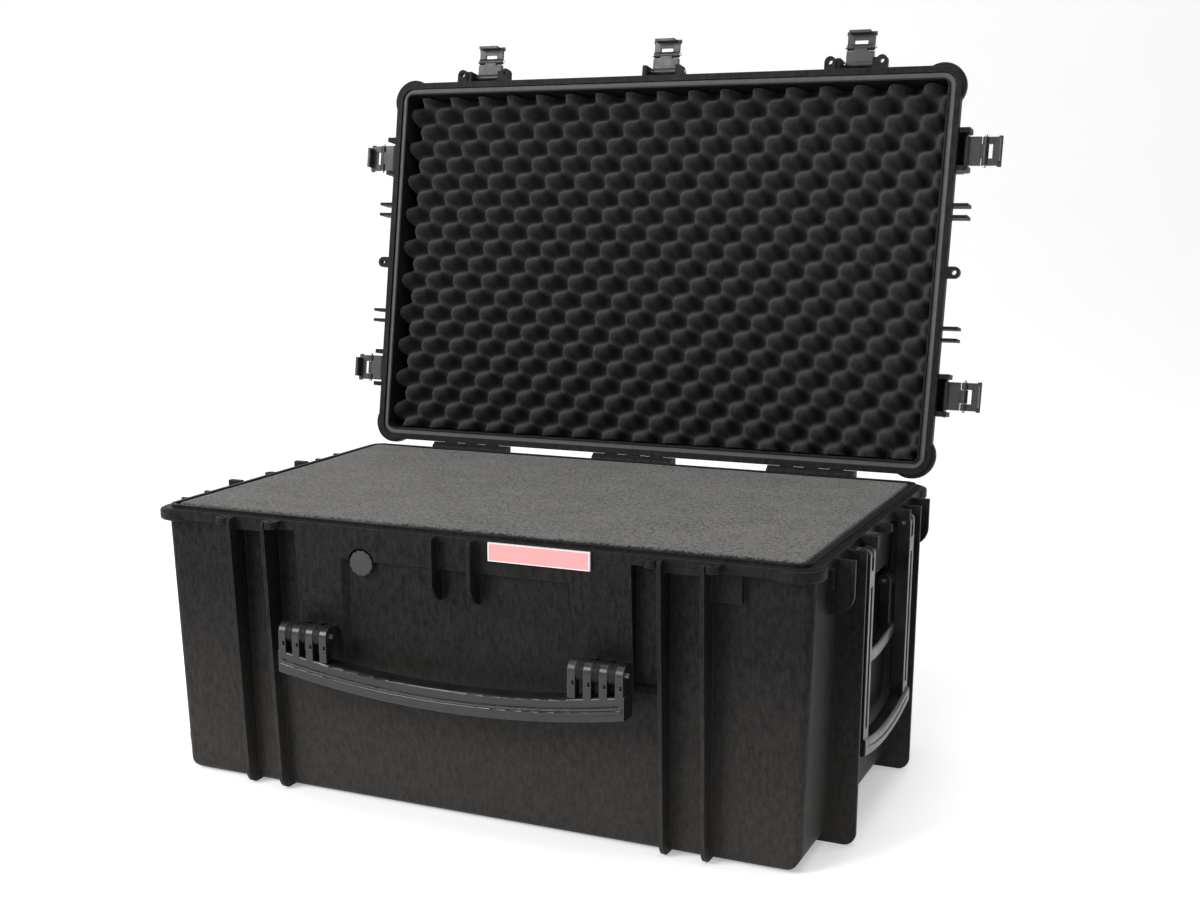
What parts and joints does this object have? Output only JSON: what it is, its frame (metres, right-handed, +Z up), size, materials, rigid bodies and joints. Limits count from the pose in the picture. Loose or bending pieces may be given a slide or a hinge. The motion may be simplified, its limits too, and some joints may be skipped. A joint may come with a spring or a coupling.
{
  "type": "wheeled hard equipment case",
  "caption": "Black moulded hard case with hinged lid on draw latches, foam inside, bow carry handles, a U-shaped pull handle and corner wheels.",
  "frame": {"origin": "on the floor, under the middle of the base (the lid is stored open, so the overall box is not centred on it)", "axes": "+X along the length towards the pull-handle end, +Y from the front handle to the hinges, +Z up"},
  "size_m": [0.9256, 0.7348, 0.9116],
  "materials": {
    "shell_plastic": "fine leathery grain, semi-matte",
    "handle_plastic": "smooth, glossy",
    "latch_plastic": "satin",
    "valve_plastic": "satin",
    "hub_plastic": "satin",
    "steel": "plain bright steel",
    "seal_rubber": "matt rubber",
    "tyre_rubber": "matt rubber",
    "membrane": "thin porous film",
    "base_foam": "open-cell foam, fine speckle",
    "lid_foam": "open-cell convoluted foam",
    "label_frame": "clear-whitish plastic",
    "label_card": "plain salmon pink card, no text"
  },
  "bodies": {
    "base": {"base_shell": "shell_plastic", "base_foam_bottom_pad": "base_foam", "base_foam_lower_layer": "base_foam", "base_foam_middle_layer": "base_foam", "base_foam_top_layer": "base_foam", "hinge_pins": "steel", "valve_body": "valve_plastic", "valve_o_ring": "seal_rubber", "valve_membrane": "membrane", "valve_nut": "valve_plastic", "label_frame": "label_frame", "label_card": "label_card", "front_handle_pins": "steel", "trolley_handle_pins": "steel", "right_carry_handle_pins": "steel", "left_carry_handle_pins": "steel", "wheel_axles": "steel"},
    "lid": {"lid_shell": "shell_plastic", "lid_gasket": "seal_rubber", "lid_foam": "lid_foam", "latch_pins": "steel"},
    "valve_knob": {"valve_knob": "valve_plastic"},
    "front_handle": {"front_handle": "handle_plastic"},
    "trolley_handle": {"trolley_handle": "handle_plastic"},
    "right_carry_handle": {"right_carry_handle": "handle_plastic"},
    "left_carry_handle": {"left_carry_handle": "handle_plastic"},
    "front_wheel": {"front_wheel_hub": "hub_plastic", "front_wheel_tyre": "tyre_rubber"},
    "rear_wheel": {"rear_wheel_hub": "hub_plastic", "rear_wheel_tyre": "tyre_rubber"},
    "front_left_latch_arm": {"front_left_latch_arm": "latch_plastic", "front_left_latch_lever_pin": "steel"},
    "front_left_latch_lever": {"front_left_latch_lever": "latch_plastic"},
    "front_centre_latch_arm": {"front_centre_latch_arm": "latch_plastic", "front_centre_latch_lever_pin": "steel"},
    "front_centre_latch_lever": {"front_centre_latch_lever": "latch_plastic"},
    "front_right_latch_arm": {"front_right_latch_arm": "latch_plastic", "front_right_latch_lever_pin": "steel"},
    "front_right_latch_lever": {"front_right_latch_lever": "latch_plastic"},
    "right_front_latch_arm": {"right_front_latch_arm": "latch_plastic", "right_front_latch_lever_pin": "steel"},
    "right_front_latch_lever": {"right_front_latch_lever": "latch_plastic"},
    "right_rear_latch_arm": {"right_rear_latch_arm": "latch_plastic", "right_rear_latch_lever_pin": "steel"},
    "right_rear_latch_lever": {"right_rear_latch_lever": "latch_plastic"},
    "left_front_latch_arm": {"left_front_latch_arm": "latch_plastic", "left_front_latch_lever_pin": "steel"},
    "left_front_latch_lever": {"left_front_latch_lever": "latch_plastic"},
    "left_rear_latch_arm": {"left_rear_latch_arm": "latch_plastic", "left_rear_latch_lever_pin": "steel"},
    "left_rear_latch_lever": {"left_rear_latch_lever": "latch_plastic"}
  },
  "joints": [
    {"name": "lid_hinge", "type": "hinge", "parent": "base", "child": "lid", "pos_m": [0, 0.269, 0.3405], "axis": [1, 0, 0], "range_deg": [0, 99.8]},
    {"name": "front_left_latch_swing", "type": "hinge", "parent": "lid", "child": "front_left_latch_arm", "pos_m": [-0.271, 0.38234, 0.8674], "axis": [1, 0, 0], "range_deg": [0, 90]},
    {"name": "front_left_latch_lever_swing", "type": "hinge", "parent": "front_left_latch_arm", "child": "front_left_latch_lever", "pos_m": [-0.271, 0.38724, 0.88989], "axis": [-1, 0, 0], "range_deg": [0, 60]},
    {"name": "front_centre_latch_swing", "type": "hinge", "parent": "lid", "child": "front_centre_latch_arm", "pos_m": [0, 0.38234, 0.8674], "axis": [1, 0, 0], "range_deg": [0, 90]},
    {"name": "front_centre_latch_lever_swing", "type": "hinge", "parent": "front_centre_latch_arm", "child": "front_centre_latch_lever", "pos_m": [0, 0.38724, 0.88989], "axis": [-1, 0, 0], "range_deg": [0, 60]},
    {"name": "front_right_latch_swing", "type": "hinge", "parent": "lid", "child": "front_right_latch_arm", "pos_m": [0.271, 0.38234, 0.8674], "axis": [1, 0, 0], "range_deg": [0, 90]},
    {"name": "front_right_latch_lever_swing", "type": "hinge", "parent": "front_right_latch_arm", "child": "front_right_latch_lever", "pos_m": [0.271, 0.38724, 0.88989], "axis": [-1, 0, 0], "range_deg": [0, 60]},
    {"name": "right_front_latch_swing", "type": "hinge", "parent": "lid", "child": "right_front_latch_arm", "pos_m": [0.419, 0.36302, 0.75555], "axis": [0, -0.1702, -0.9854], "range_deg": [0, 90]},
    {"name": "right_front_latch_lever_swing", "type": "hinge", "parent": "right_front_latch_arm", "child": "right_front_latch_lever", "pos_m": [0.442, 0.364, 0.75538], "axis": [0, 0.1702, 0.9854], "range_deg": [0, 60]},
    {"name": "right_rear_latch_swing", "type": "hinge", "parent": "lid", "child": "right_rear_latch_arm", "pos_m": [0.419, 0.30991, 0.44811], "axis": [0, -0.1702, -0.9854], "range_deg": [0, 90]},
    {"name": "right_rear_latch_lever_swing", "type": "hinge", "parent": "right_rear_latch_arm", "child": "right_rear_latch_lever", "pos_m": [0.442, 0.3109, 0.44794], "axis": [0, 0.1702, 0.9854], "range_deg": [0, 60]},
    {"name": "left_front_latch_swing", "type": "hinge", "parent": "lid", "child": "left_front_latch_arm", "pos_m": [-0.419, 0.36302, 0.75555], "axis": [0, 0.1702, 0.9854], "range_deg": [0, 90]},
    {"name": "left_front_latch_lever_swing", "type": "hinge", "parent": "left_front_latch_arm", "child": "left_front_latch_lever", "pos_m": [-0.442, 0.364, 0.75538], "axis": [0, -0.1702, -0.9854], "range_deg": [0, 60]},
    {"name": "left_rear_latch_swing", "type": "hinge", "parent": "lid", "child": "left_rear_latch_arm", "pos_m": [-0.419, 0.30991, 0.44811], "axis": [0, 0.1702, 0.9854], "range_deg": [0, 90]},
    {"name": "left_rear_latch_lever_swing", "type": "hinge", "parent": "left_rear_latch_arm", "child": "left_rear_latch_lever", "pos_m": [-0.442, 0.3109, 0.44794], "axis": [0, -0.1702, -0.9854], "range_deg": [0, 60]},
    {"name": "front_handle_swing", "type": "hinge", "parent": "base", "child": "front_handle", "pos_m": [0, -0.282, 0.213], "axis": [-1, 0, 0], "range_deg": [0, 100]},
    {"name": "trolley_handle_swing", "type": "hinge", "parent": "base", "child": "trolley_handle", "pos_m": [0.421, 0, 0.325], "axis": [0, -1, 0], "range_deg": [0, 110]},
    {"name": "right_carry_handle_swing", "type": "hinge", "parent": "base", "child": "right_carry_handle", "pos_m": [0.405, 0, 0.257], "axis": [0, -1, 0], "range_deg": [0, 90]},
    {"name": "left_carry_handle_swing", "type": "hinge", "parent": "base", "child": "left_carry_handle", "pos_m": [-0.405, 0, 0.257], "axis": [0, 1, 0], "range_deg": [0, 90]},
    {"name": "front_wheel_spin", "type": "hinge", "parent": "base", "child": "front_wheel", "pos_m": [-0.385, -0.197, 0.033], "axis": [0, 1, 0], "continuous": true},
    {"name": "rear_wheel_spin", "type": "hinge", "parent": "base", "child": "rear_wheel", "pos_m": [-0.385, 0.197, 0.033], "axis": [0, 1, 0], "continuous": true},
    {"name": "valve_knob_turn", "type": "hinge", "parent": "base", "child": "valve_knob", "pos_m": [-0.1225, -0.2545, 0.2978], "axis": [0, 1, 0], "range_deg": [0, 180]}
  ]
}
